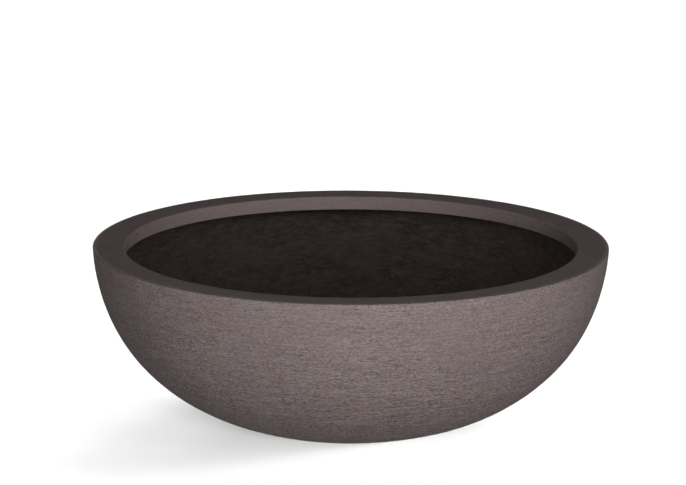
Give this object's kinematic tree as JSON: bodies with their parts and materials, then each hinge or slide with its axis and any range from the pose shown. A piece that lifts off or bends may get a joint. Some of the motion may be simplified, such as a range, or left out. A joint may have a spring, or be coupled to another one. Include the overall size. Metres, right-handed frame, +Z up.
{
  "type": "bowl planter",
  "caption": "Low round bowl planter with a wide flat rim and a hanging lip, a raked stone-composite skin, a dark lining and a plugged drain in its floor.",
  "frame": {"origin": "on the floor under the bowl's centre, at the level of the foot pads", "axes": "+Z up along the bowl's axis, out of its mouth; -Y towards the viewer of the picture"},
  "size_m": [0.8037, 0.8038, 0.28],
  "materials": {
    "stone_composite": "matte, finely raked",
    "rim_stone": "matte, rubbed smooth",
    "bonding_paste": "matte, tooled by hand",
    "black_laminate": "satin, with the glass mat's texture",
    "plywood": "sawn",
    "drain_plastic": "satin moulded",
    "gasket_rubber": "matte",
    "plug_rubber": "matte",
    "pad_rubber": "matte"
  },
  "bodies": {
    "bowl": {"outer_skin": "stone_composite", "rim_collar": "rim_stone", "rim_bead": "bonding_paste", "glass_lining": "black_laminate", "base_core": "plywood", "drain_outlet": "drain_plastic", "drain_gasket": "gasket_rubber", "drain_nut": "drain_plastic", "foot_pad_1": "pad_rubber", "foot_pad_2": "pad_rubber", "foot_pad_3": "pad_rubber", "foot_pad_4": "pad_rubber"},
    "plug": {"drain_plug": "plug_rubber"}
  },
  "joints": [
    {"name": "plug_lift", "type": "slide", "parent": "bowl", "child": "plug", "axis": [0, 0, 1], "range_m": [0, 0.28]}
  ]
}
